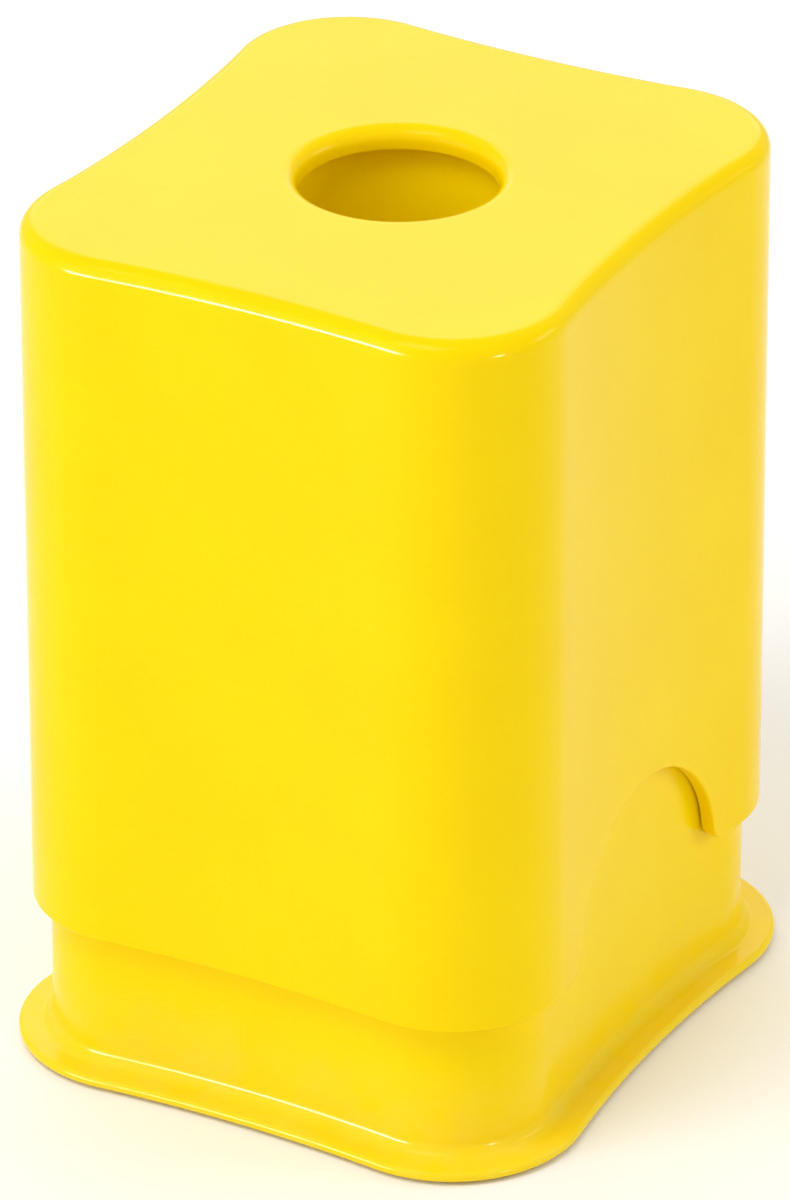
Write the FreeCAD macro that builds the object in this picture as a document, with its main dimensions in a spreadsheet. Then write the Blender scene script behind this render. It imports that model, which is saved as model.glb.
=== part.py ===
"""Weighted base of a chain stanchion: a lift-off hood over a ballasted body with a post socket.

Millimetres, +Z up. The origin is on the ground, under the middle of the socket.
The plan of every shell is one rounded rectangle with its four sides pulled in,
grown or shrunk by a parallel offset, so that each shell nests in the next.
"""

import FreeCAD
import Part
import math
import os
import Sketcher

PARTS_FOLDER = "parts"

# Driving dimensions: (name, value, what it is).
DRIVING = [
    ("total_height", "237.5", "ground to the top of the hood"),
    ("top_width", "150", "hood across X at its top, corner to corner"),
    ("top_depth", "166.7", "hood across Y at its top, corner to corner"),
    ("corner_radius", "30.2", "plan radius of the hood's corners at the top"),
    ("side_waist", "3.3", "how far the X faces are pulled in at their middle"),
    ("front_waist", "2.2", "how far the Y faces are pulled in at their middle"),
    ("draft_angle", "0.22", "moulding draft of every upright wall, in degrees"),
    ("hood_wall", "4", "wall of the hood"),
    ("hood_plate", "6", "top plate of the hood"),
    ("hood_edge_height", "43", "ground to the hood's lower edge"),
    ("hood_top_round", "4.6", "round of the hood's top edge"),
    ("hood_ceiling_round", "2", "round inside the hood, under the plate"),
    ("throat_gap", "0.6", "how much wider than the socket the hole in the hood's plate is"),
    ("throat_lip_round", "4", "rolled lip of that hole"),
    ("arch_radius", "37", "hand arch in the hood's lower edge"),
    ("arch_foot_round", "6", "round where an arch runs into the lower edge"),
    ("nest_gap", "0.7", "gap between the hood and the body, all round"),
    ("shell_wall", "2.6", "wall of the body shell"),
    ("shell_plate", "3.5", "top plate of the body shell"),
    ("shell_top_round", "3.4", "round of the body shell's top edge"),
    ("flange_overhang", "5.3", "foot flange beyond the hood's top outline"),
    ("flange_thickness", "2.8", "foot flange"),
    ("flange_root_round", "3.6", "hollow round from the wall into the flange"),
    ("flange_rim_round", "1.2", "round of the flange's rim"),
    ("socket_bore", "51", "bore for a post of nominal 50"),
    ("socket_wall", "3", "wall of the socket tube"),
    ("mouth_flare", "5.5", "how much wider than the bore the funnel's mouth is, all round"),
    ("mouth_depth", "48", "depth of the funnel"),
    ("tube_gap", "0.3", "gap round the socket tube"),
    ("plug_flange", "2", "disc of the end plug, under the tube"),
    ("plug_spigot", "8", "height of the plug inside the tube"),
    ("plug_rebate", "1.2", "how much wider the tube is bored for the plug, all round"),
    ("plug_gap", "0.1", "gap round the plug's spigot"),
    ("drain_diameter", "8", "rain drain through the plug and the base plate"),
    ("block_gap", "0.6", "gap between the ballast and the shell"),
    ("block_headroom", "1", "gap over the ballast"),
    ("block_chamfer", "3", "bevel round the ballast's top edge"),
    ("plate_thickness", "3", "base plate"),
    ("plate_gap", "0.3", "gap round the base plate"),
    ("boss_height", "18", "screw boss"),
    ("boss_bite", "0.7", "how far a boss runs into the shell's wall"),
    ("boss_gap", "1", "gap between a boss and the ballast"),
    ("screw_diameter", "4.2", "shank of a base plate screw"),
    ("screw_length", "16", "screw, head included"),
    ("screw_head_diameter", "8", "countersunk head, with a right-angled cone"),
    ("screw_gap", "0.05", "gap round the shank"),
    ("screw_margin", "1.5", "plate left between a screw's head and the plate's edge"),
    ("screw_slot_width", "1.1", "driver slot"),
    ("screw_slot_depth", "0.9", "driver slot"),
    ("pad_diameter", "22", "rubber foot pad"),
    ("pad_thickness", "2.2", "rubber foot pad"),
    ("pad_stand", "1", "how far a pad stands out of the base plate"),
    ("pad_gap", "0.1", "gap round a pad in its recess"),
    ("pad_margin", "2.1", "plate left between a pad and a screw's head"),
    ("pad_round", "0.5", "round of a pad's lower edge"),
]

# Where things are, as expressions of the driving dimensions.
TOP = "sizes.total_height"
SEAT = "(sizes.total_height - sizes.hood_plate)"
HOOD_EDGE = "sizes.hood_edge_height"
UNDERSIDE = "sizes.pad_stand"
FLANGE_TOP = "(sizes.pad_stand + sizes.flange_thickness)"
PLATE_TOP = "(sizes.pad_stand + sizes.plate_thickness)"
TUBE_FOOT = "(sizes.pad_stand + sizes.plate_thickness + sizes.plug_flange)"
SHELL_CEILING = "(sizes.total_height - sizes.hood_plate - sizes.shell_plate)"
FUNNEL_FOOT = "(sizes.total_height - sizes.hood_plate - sizes.mouth_depth)"
PLUG_TOP = "(sizes.pad_stand + sizes.plate_thickness + sizes.plug_flange + sizes.plug_spigot)"
CENTRE_X = "(sizes.top_width / 2 - sizes.corner_radius)"
CENTRE_Y = "(sizes.top_depth / 2 - sizes.corner_radius)"
SCREW_CONE = "((sizes.screw_head_diameter - sizes.screw_diameter) / 2)"

# Radii of the socket, and the hole in the hood over it.
TUBE_INSIDE = "(sizes.socket_bore / 2)"
TUBE_REBATE = "(sizes.socket_bore / 2 + sizes.plug_rebate)"
TUBE_OUTSIDE = "(sizes.socket_bore / 2 + sizes.socket_wall)"
MOUTH_INSIDE = "(sizes.socket_bore / 2 + sizes.mouth_flare)"
MOUTH_OUTSIDE = "(sizes.socket_bore / 2 + sizes.mouth_flare + sizes.socket_wall)"
THROAT_DIAMETER = "(sizes.socket_bore + sizes.throat_gap)"

# Parallel offsets of the plan from the hood's top outline.
HOOD_INSIDE = "(0 - sizes.hood_wall)"
SHELL_OUTSIDE = "(0 - sizes.hood_wall - sizes.nest_gap)"
SHELL_INSIDE = "(0 - sizes.hood_wall - sizes.nest_gap - sizes.shell_wall)"
BLOCK_OUTSIDE = "(0 - sizes.hood_wall - sizes.nest_gap - sizes.shell_wall - sizes.block_gap)"
PLATE_OUTSIDE = "(0 - sizes.hood_wall - sizes.nest_gap - sizes.shell_wall - sizes.plate_gap)"

# A boss stands in each corner, as far out as its screw's head leaves room in the base plate,
# and is just wide enough to run into the shell's wall. A foot pad sits just inside each screw.
BOSS_REACH = f"(sizes.corner_radius + {PLATE_OUTSIDE} - sizes.screw_margin - sizes.screw_head_diameter / 2)"
BOSS_X = f"({CENTRE_X} + {BOSS_REACH} * sqrt(0.5))"
BOSS_Y = f"({CENTRE_Y} + {BOSS_REACH} * sqrt(0.5))"
PAD_REACH = "(sizes.pad_diameter / 2 + sizes.screw_head_diameter / 2 + sizes.pad_margin)"
PAD_X = f"({BOSS_X} - {PAD_REACH} * sqrt(0.5))"
PAD_Y = f"({BOSS_Y} - {PAD_REACH} * sqrt(0.5))"
BOSS_DIAMETER = (
    "(sizes.screw_head_diameter + 2 * (sizes.screw_margin + sizes.plate_gap + sizes.boss_bite)"
    " + 2 * (sizes.total_height - sizes.pad_stand) * tan(sizes.draft_angle * 1 deg))"
)

CORNERS = [(1, 1), (-1, 1), (-1, -1), (1, -1)]
START, END, MIDDLE = 1, 2, 3
LEVEL = 0.01                # how near a height counts as the same height

doc = FreeCAD.newDocument("chain_stanchion_base")


# The sheet of driving dimensions

def make_sheet():
    sheet = doc.addObject("Spreadsheet::Sheet", "sizes")
    for row, (name, value, meaning) in enumerate(DRIVING, start=1):
        sheet.set(f"A{row}", name)
        sheet.set(f"B{row}", value)
        sheet.set(f"C{row}", meaning)
        sheet.setAlias(f"B{row}", name)
    doc.recompute()
    return sheet


sizes = make_sheet()


def value(expression):
    """The number that an expression gives now, used to draw a sketch near its solution."""
    return float(sizes.evalExpression(expression))


def drafted(offset, height):
    """An offset that is right at the top of the hood, widened by the draft down to a height."""
    return f"({offset} + (sizes.total_height - {height}) * tan(sizes.draft_angle * 1 deg))"


# Bodies and sketches

def new_body(node):
    body = doc.addObject("PartDesign::Body", node)
    body.Label = node
    doc.recompute()
    return body


def new_sketch(body, name, plane="XY_Plane", height="0"):
    sketch = body.newObject("Sketcher::SketchObject", name)
    base = next(item for item in body.Origin.OriginFeatures if item.Role == plane)
    sketch.AttachmentSupport = [(base, "")]
    sketch.MapMode = "FlatFace"
    sketch.setExpression("AttachmentOffset.Base.z", height)
    doc.recompute()
    return sketch


def bind(sketch, constraint, expression):
    """Add a dimension and tie it to the sheet."""
    index = sketch.addConstraint(constraint)
    sketch.setExpression(f"Constraints[{index}]", expression)
    return index


def place_centre(sketch, curve, x, y):
    bind(sketch, Sketcher.Constraint("DistanceX", -1, 1, curve, MIDDLE, value(x)), x)
    bind(sketch, Sketcher.Constraint("DistanceY", -1, 1, curve, MIDDLE, value(y)), y)


def add_circle(sketch, diameter, x="0", y="0"):
    centre = FreeCAD.Vector(value(x), value(y), 0)
    circle = Part.Circle(centre, FreeCAD.Vector(0, 0, 1), value(diameter) / 2)
    index = sketch.addGeometry(circle)
    bind(sketch, Sketcher.Constraint("Diameter", index, value(diameter)), diameter)
    if x == "0" and y == "0":
        sketch.addConstraint(Sketcher.Constraint("Coincident", index, MIDDLE, -1, 1))
    else:
        place_centre(sketch, index, x, y)


def add_arc(sketch, centre, radius, start, end):
    """An arc that runs anticlockwise between two directions seen from its centre."""
    middle = FreeCAD.Vector(centre[0], centre[1], 0)
    circle = Part.Circle(middle, FreeCAD.Vector(0, 0, 1), radius)
    first = math.atan2(start[1], start[0])
    last = math.atan2(end[1], end[0])
    return sketch.addGeometry(Part.ArcOfCircle(circle, first, last))


def closed_profile(sketch, points):
    """A closed run of straight lines through points given as pairs of expressions."""
    spots = [FreeCAD.Vector(value(across), value(up), 0) for across, up in points]
    lines = []
    for here, there in zip(spots, spots[1:] + spots[:1]):
        lines.append(sketch.addGeometry(Part.LineSegment(here, there)))
    for line, following in zip(lines, lines[1:] + lines[:1]):
        sketch.addConstraint(Sketcher.Constraint("Coincident", line, END, following, START))
    for line, (across, up) in zip(lines, points):
        bind(sketch, Sketcher.Constraint("DistanceX", -1, 1, line, START, value(across)), across)
        bind(sketch, Sketcher.Constraint("DistanceY", -1, 1, line, START, value(up)), up)


def half_section(body, name, points):
    """The half section of a turned piece: pairs of radius and height, to spin round Z."""
    sketch = new_sketch(body, name, "XZ_Plane")
    closed_profile(sketch, points)
    doc.recompute()
    return sketch


def waisted_outline(body, name, height, offset):
    """Four corner arcs joined by four long hollow arcs, all tangent, offset all round."""
    sketch = new_sketch(body, name, "XY_Plane", height)
    corner = f"(sizes.corner_radius + {offset})"
    hollow_x = f"({CENTRE_Y} ^ 2 / (2 * sizes.side_waist) + sizes.side_waist / 2 - {corner})"
    hollow_y = f"({CENTRE_X} ^ 2 / (2 * sizes.front_waist) + sizes.front_waist / 2 - {corner})"
    x = value(CENTRE_X)
    y = value(CENTRE_Y)
    far_x = value(f"sizes.top_width / 2 - sizes.side_waist + {offset} + {hollow_x}")
    far_y = value(f"sizes.top_depth / 2 - sizes.front_waist + {offset} + {hollow_y}")

    corners = []
    for sign_x, sign_y in CORNERS:
        to_x_side = (sign_x * (far_x - x), -sign_y * y)
        to_y_side = (-sign_x * x, sign_y * (far_y - y))
        start, end = (to_x_side, to_y_side) if sign_x == sign_y else (to_y_side, to_x_side)
        corners.append(add_arc(sketch, (sign_x * x, sign_y * y), value(corner), start, end))

    top = add_arc(sketch, (0, far_y), value(hollow_y), (-x, y - far_y), (x, y - far_y))
    left = add_arc(sketch, (-far_x, 0), value(hollow_x), (far_x - x, -y), (far_x - x, y))
    bottom = add_arc(sketch, (0, -far_y), value(hollow_y), (x, far_y - y), (-x, far_y - y))
    right = add_arc(sketch, (far_x, 0), value(hollow_x), (x - far_x, y), (x - far_x, -y))
    for index, (before, after) in enumerate([(right, top), (top, left), (left, bottom), (bottom, right)]):
        sketch.addConstraint(Sketcher.Constraint("Tangent", before, START, corners[index], START))
        sketch.addConstraint(Sketcher.Constraint("Tangent", corners[index], END, after, END))

    for index, (sign_x, sign_y) in enumerate(CORNERS):
        place_centre(sketch, corners[index], f"{sign_x} * {CENTRE_X}", f"{sign_y} * {CENTRE_Y}")
    bind(sketch, Sketcher.Constraint("Radius", corners[0], value(corner)), corner)
    for other in corners[1:]:
        sketch.addConstraint(Sketcher.Constraint("Equal", corners[0], other))
    bind(sketch, Sketcher.Constraint("Radius", right, value(hollow_x)), hollow_x)
    sketch.addConstraint(Sketcher.Constraint("Equal", right, left))
    bind(sketch, Sketcher.Constraint("Radius", top, value(hollow_y)), hollow_y)
    sketch.addConstraint(Sketcher.Constraint("Equal", top, bottom))
    doc.recompute()
    return sketch


# Features

def pad(body, sketch, name, length, downwards=False, draft=False):
    feature = body.newObject("PartDesign::Pad", name)
    feature.Profile = sketch
    feature.Reversed = downwards
    feature.setExpression("Length", length)
    if draft:
        feature.setExpression("TaperAngle", "sizes.draft_angle")
    doc.recompute()
    return feature


def pocket(body, sketch, name, length, upwards=False, draft=False, both_ways=False):
    """Cut a sketch out of a body, and make sure that the cut takes something away."""
    before = body.Shape.Volume
    feature = body.newObject("PartDesign::Pocket", name)
    feature.Profile = sketch
    feature.Reversed = upwards
    feature.Midplane = both_ways
    feature.setExpression("Length", length)
    if draft:
        feature.setExpression("TaperAngle", "sizes.draft_angle")
    doc.recompute()
    if body.Shape.Volume > before - LEVEL:
        raise RuntimeError(f"{name} cuts nothing from {body.Label}")
    return feature


def turn(body, kind, name, sketch):
    """Spin a half section all the way round Z: a PartDesign Revolution adds, a Groove cuts."""
    feature = body.newObject(f"PartDesign::{kind}", name)
    feature.Profile = sketch
    feature.ReferenceAxis = (sketch, ["V_Axis"])
    feature.Angle = 360
    doc.recompute()
    return feature


def chamfer(body, name, edges, size):
    feature = body.newObject("PartDesign::Chamfer", name)
    feature.Base = (feature.BaseFeature or body.Tip, edges)
    feature.setExpression("Size", size)
    doc.recompute()
    return feature


def fillet(body, name, edges, radius):
    feature = body.newObject("PartDesign::Fillet", name)
    feature.Base = (feature.BaseFeature or body.Tip, edges)
    feature.setExpression("Radius", radius)
    doc.recompute()
    return feature


def edges_where(body, test):
    return [f"Edge{number}" for number, edge in enumerate(body.Shape.Edges, start=1) if test(edge)]


def is_level(edge, height):
    box = edge.BoundBox
    return abs(box.ZMin - height) < LEVEL and abs(box.ZMax - height) < LEVEL


def reach(edge):
    """The farthest that an edge gets from the Z axis."""
    box = edge.BoundBox
    return max(abs(box.XMin), abs(box.XMax), abs(box.YMin), abs(box.YMax))


def growth(edge):
    """How far the middle of an outline's edge lies outside the hood's top outline."""
    point = edge.valueAt((edge.FirstParameter + edge.LastParameter) / 2)
    x = abs(point.x)
    y = abs(point.y)
    if x < LEVEL:
        return y - value("sizes.top_depth / 2 - sizes.front_waist")
    if y < LEVEL:
        return x - value("sizes.top_width / 2 - sizes.side_waist")
    return math.hypot(x - value(CENTRE_X), y - value(CENTRE_Y)) - value("sizes.corner_radius")


# Hood: the outer cover, open below, with a post hole in its plate and a hand arch in each X face

def arch_outline(body, name):
    """Half a circle standing on the hood's edge, with its feet rounded outwards."""
    sketch = new_sketch(body, name, "YZ_Plane")
    edge = value(HOOD_EDGE)
    radius = value("sizes.arch_radius")
    foot = value("sizes.arch_foot_round")
    below = value("sizes.hood_edge_height - sizes.arch_foot_round")
    foot_y = math.sqrt((radius + foot) ** 2 - foot ** 2)
    crown = add_arc(sketch, (0, edge), radius, (foot_y, foot), (-foot_y, foot))
    left = add_arc(sketch, (-foot_y, edge + foot), foot, (0, -1), (foot_y, -foot))
    right = add_arc(sketch, (foot_y, edge + foot), foot, (-foot_y, -foot), (0, -1))
    corners = [(-foot_y, edge), (-foot_y, below), (foot_y, below), (foot_y, edge)]
    points = [FreeCAD.Vector(y, z, 0) for y, z in corners]
    drop, floor, rise = [sketch.addGeometry(Part.LineSegment(a, b)) for a, b in zip(points, points[1:])]

    place_centre(sketch, crown, "0", HOOD_EDGE)
    bind(sketch, Sketcher.Constraint("Radius", crown, radius), "sizes.arch_radius")
    bind(sketch, Sketcher.Constraint("Radius", left, foot), "sizes.arch_foot_round")
    sketch.addConstraint(Sketcher.Constraint("Equal", left, right))
    sketch.addConstraint(Sketcher.Constraint("Tangent", crown, END, left, END))
    sketch.addConstraint(Sketcher.Constraint("Tangent", crown, START, right, START))
    sketch.addConstraint(Sketcher.Constraint("Coincident", left, START, drop, START))
    sketch.addConstraint(Sketcher.Constraint("Coincident", drop, END, floor, START))
    sketch.addConstraint(Sketcher.Constraint("Coincident", floor, END, rise, START))
    sketch.addConstraint(Sketcher.Constraint("Coincident", rise, END, right, END))
    sketch.addConstraint(Sketcher.Constraint("Vertical", drop))
    sketch.addConstraint(Sketcher.Constraint("Horizontal", floor))
    sketch.addConstraint(Sketcher.Constraint("Vertical", rise))
    edge_level = Sketcher.Constraint("DistanceY", -1, 1, drop, START, edge)
    bind(sketch, edge_level, HOOD_EDGE)
    bind(sketch, Sketcher.Constraint("DistanceY", -1, 1, rise, END, edge), HOOD_EDGE)
    bind(sketch, Sketcher.Constraint("DistanceY", drop, END, drop, START, foot), "sizes.arch_foot_round")
    doc.recompute()
    return sketch


def make_hood():
    body = new_body("hood")
    tall = f"({TOP} - {HOOD_EDGE})"
    pad(body, waisted_outline(body, "hood_plan", TOP, "0"), "hood_block", tall, downwards=True, draft=True)
    top = value(TOP)
    rim = edges_where(body, lambda edge: is_level(edge, top))
    fillet(body, "hood_top_rim", rim, "sizes.hood_top_round")

    ceiling = drafted(HOOD_INSIDE, SEAT)
    plan = waisted_outline(body, "hood_inside_plan", SEAT, ceiling)
    pocket(body, plan, "hood_inside", f"({SEAT} - {HOOD_EDGE})", draft=True)
    seat = value(SEAT)
    corner = edges_where(body, lambda edge: is_level(edge, seat))
    fillet(body, "hood_ceiling_corner", corner, "sizes.hood_ceiling_round")

    throat = new_sketch(body, "throat_circle", "XY_Plane", TOP)
    add_circle(throat, THROAT_DIAMETER)
    pocket(body, throat, "throat", "sizes.hood_plate")
    throat_radius = value(THROAT_DIAMETER) / 2
    lip = edges_where(body, lambda edge: is_level(edge, top) and reach(edge) < throat_radius + LEVEL)
    fillet(body, "throat_lip", lip, "sizes.throat_lip_round")

    arch = arch_outline(body, "arch_outline")
    pocket(body, arch, "hand_arches", "2 * sizes.top_width", both_ways=True)
    return body


# Body shell: the inner cup, closed on top round the socket, with a foot flange and four screw bosses

def boss_sketch(body, name, height, diameter):
    """Four equal circles, one at each corner boss."""
    sketch = new_sketch(body, name, "XY_Plane", height)
    for sign_x, sign_y in CORNERS:
        add_circle(sketch, diameter, f"{sign_x} * {BOSS_X}", f"{sign_y} * {BOSS_Y}")
    doc.recompute()
    return sketch


def make_body_shell():
    body = new_body("body_shell")
    flange = waisted_outline(body, "flange_plan", UNDERSIDE, "sizes.flange_overhang")
    pad(body, flange, "foot_flange", "sizes.flange_thickness")
    wall = waisted_outline(body, "wall_plan", SEAT, drafted(SHELL_OUTSIDE, SEAT))
    pad(body, wall, "wall_block", f"({SEAT} - {UNDERSIDE})", downwards=True, draft=True)

    seat = value(SEAT)
    flange_top = value(FLANGE_TOP)
    underside = value(UNDERSIDE)
    top_rim = edges_where(body, lambda edge: is_level(edge, seat))
    fillet(body, "shell_top_rim", top_rim, "sizes.shell_top_round")
    root = edges_where(body, lambda edge: is_level(edge, flange_top) and growth(edge) < 0)
    fillet(body, "flange_root", root, "sizes.flange_root_round")
    rim = edges_where(body, lambda edge: is_level(edge, flange_top) and growth(edge) > 0)
    rim += edges_where(body, lambda edge: is_level(edge, underside))
    fillet(body, "flange_rim", rim, "sizes.flange_rim_round")

    cavity = waisted_outline(body, "cavity_plan", SHELL_CEILING, drafted(SHELL_INSIDE, SHELL_CEILING))
    pocket(body, cavity, "cavity", f"({SHELL_CEILING} - {UNDERSIDE})", draft=True)
    bosses = boss_sketch(body, "boss_circles", PLATE_TOP, BOSS_DIAMETER)
    pad(body, bosses, "screw_bosses", "sizes.boss_height")
    pilots = boss_sketch(body, "pilot_circles", PLATE_TOP, "(sizes.screw_diameter + 2 * sizes.screw_gap)")
    pocket(body, pilots, "pilot_holes", "(sizes.screw_length - sizes.plate_thickness + 1)", upwards=True)

    mouth = new_sketch(body, "mouth_circle", "XY_Plane", SEAT)
    add_circle(mouth, f"(2 * {MOUTH_OUTSIDE} + 2 * sizes.tube_gap)")
    pocket(body, mouth, "mouth_hole", "sizes.shell_plate")
    return body


# Socket: a tube with a funnel mouth that lines the post hole, and the plug it stands on

def make_socket_tube():
    body = new_body("socket_tube")
    points = [
        (TUBE_REBATE, TUBE_FOOT),
        (TUBE_OUTSIDE, TUBE_FOOT),
        (TUBE_OUTSIDE, FUNNEL_FOOT),
        (MOUTH_OUTSIDE, SHELL_CEILING),
        (MOUTH_OUTSIDE, SEAT),
        (MOUTH_INSIDE, SEAT),
        (TUBE_INSIDE, FUNNEL_FOOT),
        (TUBE_INSIDE, PLUG_TOP),
        (TUBE_REBATE, PLUG_TOP),
    ]
    turn(body, "Revolution", "tube", half_section(body, "tube_section", points))
    return body


def make_socket_end_plug():
    body = new_body("socket_end_plug")
    drain = "(sizes.drain_diameter / 2)"
    spigot = f"({TUBE_REBATE} - sizes.plug_gap)"
    points = [
        (drain, PLATE_TOP),
        (TUBE_OUTSIDE, PLATE_TOP),
        (TUBE_OUTSIDE, TUBE_FOOT),
        (spigot, TUBE_FOOT),
        (spigot, PLUG_TOP),
        (drain, PLUG_TOP),
    ]
    turn(body, "Revolution", "plug", half_section(body, "plug_section", points))
    return body


# Ballast: a cast block that fills the shell, bored for the socket and notched for the bosses

def make_ballast_block():
    body = new_body("ballast_block")
    block_top = f"({SHELL_CEILING} - sizes.block_headroom)"
    plan = waisted_outline(body, "block_plan", block_top, drafted(BLOCK_OUTSIDE, block_top))
    pad(body, plan, "block", f"({block_top} - {PLATE_TOP})", downwards=True, draft=True)
    level = value(block_top)
    edges = edges_where(body, lambda edge: is_level(edge, level))
    chamfer(body, "block_top_bevel", edges, "sizes.block_chamfer")
    narrow = f"({TUBE_OUTSIDE} + sizes.tube_gap)"
    wide = f"({MOUTH_OUTSIDE} + sizes.tube_gap)"
    points = [
        ("0", PLATE_TOP),
        (narrow, PLATE_TOP),
        (narrow, FUNNEL_FOOT),
        (wide, SHELL_CEILING),
        ("0", SHELL_CEILING),
    ]
    turn(body, "Groove", "socket_hole", half_section(body, "socket_hole_section", points))
    notches = boss_sketch(body, "notch_circles", PLATE_TOP, f"({BOSS_DIAMETER} + 2 * sizes.boss_gap)")
    pocket(body, notches, "boss_notches", "(sizes.boss_height + sizes.boss_gap)", upwards=True)
    return body


# Base plate: closes the shell from below, level with the flange, and carries the foot pads

def make_base_plate():
    body = new_body("base_plate")
    plan = waisted_outline(body, "plate_plan", UNDERSIDE, drafted(PLATE_OUTSIDE, PLATE_TOP))
    pad(body, plan, "plate", "sizes.plate_thickness")
    drain = new_sketch(body, "drain_circle", "XY_Plane", UNDERSIDE)
    add_circle(drain, "sizes.drain_diameter")
    pocket(body, drain, "drain", "sizes.plate_thickness", upwards=True)
    hole = "(sizes.screw_diameter + 2 * sizes.screw_gap)"
    holes = boss_sketch(body, "screw_hole_circles", UNDERSIDE, hole)
    pocket(body, holes, "screw_holes", "sizes.plate_thickness", upwards=True)
    underside = value(UNDERSIDE)
    centre_x = value(BOSS_X)
    centre_y = value(BOSS_Y)

    def is_screw_hole(edge):
        if not is_level(edge, underside) or edge.Curve.TypeId != "Part::GeomCircle":
            return False
        centre = edge.Curve.Center
        return abs(abs(centre.x) - centre_x) < LEVEL and abs(abs(centre.y) - centre_y) < LEVEL

    chamfer(body, "countersinks", edges_where(body, is_screw_hole), SCREW_CONE)
    recesses = new_sketch(body, "pad_recess_circles", "XY_Plane", UNDERSIDE)
    for sign_x, sign_y in CORNERS:
        diameter = "(sizes.pad_diameter + 2 * sizes.pad_gap)"
        add_circle(recesses, diameter, f"{sign_x} * {PAD_X}", f"{sign_y} * {PAD_Y}")
    doc.recompute()
    pocket(body, recesses, "pad_recesses", "(sizes.pad_thickness - sizes.pad_stand)", upwards=True)
    return body


def make_base_plate_screws():
    """Four countersunk screws, separate solids of one node, heads level with the plate."""
    body = new_body("base_plate_screws")
    body.AllowCompound = True
    shanks = boss_sketch(body, "shank_circles", UNDERSIDE, "sizes.screw_diameter")
    pad(body, shanks, "shanks", "sizes.screw_length")
    heads = boss_sketch(body, "head_circles", UNDERSIDE, "sizes.screw_head_diameter")
    cones = pad(body, heads, "heads", SCREW_CONE)
    cones.TaperAngle = -45
    doc.recompute()
    slots = new_sketch(body, "slot_outlines", "XY_Plane", UNDERSIDE)
    half_length = "sizes.screw_head_diameter"
    half_width = "(sizes.screw_slot_width / 2)"
    for sign_x, sign_y in CORNERS:
        corners = []
        for along, across in CORNERS:
            x = f"({sign_x} * {BOSS_X} + {along} * {half_length})"
            y = f"({sign_y} * {BOSS_Y} + {across} * {half_width})"
            corners.append((x, y))
        closed_profile(slots, corners)
    doc.recompute()
    pocket(body, slots, "driver_slots", "sizes.screw_slot_depth", upwards=True)
    return body


def make_foot_pad(number, sign_x, sign_y):
    """A rubber disc at its own centre, placed in a corner beside the screw."""
    body = new_body(f"foot_pad_{number}")
    circle = new_sketch(body, f"pad_circle_{number}", "XY_Plane")
    add_circle(circle, "sizes.pad_diameter")
    pad(body, circle, f"pad_disc_{number}", "sizes.pad_thickness")
    lower = edges_where(body, lambda edge: is_level(edge, 0))
    fillet(body, f"pad_round_{number}", lower, "sizes.pad_round")
    body.setExpression("Placement.Base.x", f"{sign_x} * {PAD_X}")
    body.setExpression("Placement.Base.y", f"{sign_y} * {PAD_Y}")
    doc.recompute()
    return body


def check_document():
    """Stop on any object that failed, and on any sub-part that is empty or not sound."""
    for item in doc.Objects:
        if "Invalid" in item.State or "Error" in item.State:
            raise RuntimeError(f"{item.Name} failed: {item.State}")
    for part in parts:
        if part.Shape.isNull() or not part.Shape.isValid():
            raise RuntimeError(f"{part.Label} has no sound shape")


parts = [
    make_hood(),
    make_body_shell(),
    make_socket_tube(),
    make_socket_end_plug(),
    make_ballast_block(),
    make_base_plate(),
    make_base_plate_screws(),
]
for count, (side_x, side_y) in enumerate(CORNERS, start=1):
    parts.append(make_foot_pad(count, side_x, side_y))

doc.recompute()
check_document()
os.makedirs(PARTS_FOLDER, exist_ok=True)
for part in parts:
    part.Shape.exportStep(f"{PARTS_FOLDER}/{part.Label}.step")
    print(f"{part.Label}: {len(part.Shape.Solids)} solid(s), {part.Shape.Volume:.0f} mm3")
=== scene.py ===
# %% [markdown]
# # The weighted base of a chain stanchion
#
# Two moulded yellow cups sit one over the other: a hood with a hole in its top for the post, and a
# body with a thin foot flange that holds the weight. The engineering model already says where each
# piece is and how big it is. Here the moulded pieces are modelled again with clean, evenly flowing
# faces, because a glossy surface shows every flaw in the mesh under it. The plate, the screws and
# the ballast stay as they are and only get their finishes.

# %% Load the frame
import math

import bmesh
import bpy
from mathutils import Matrix, Vector


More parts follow.
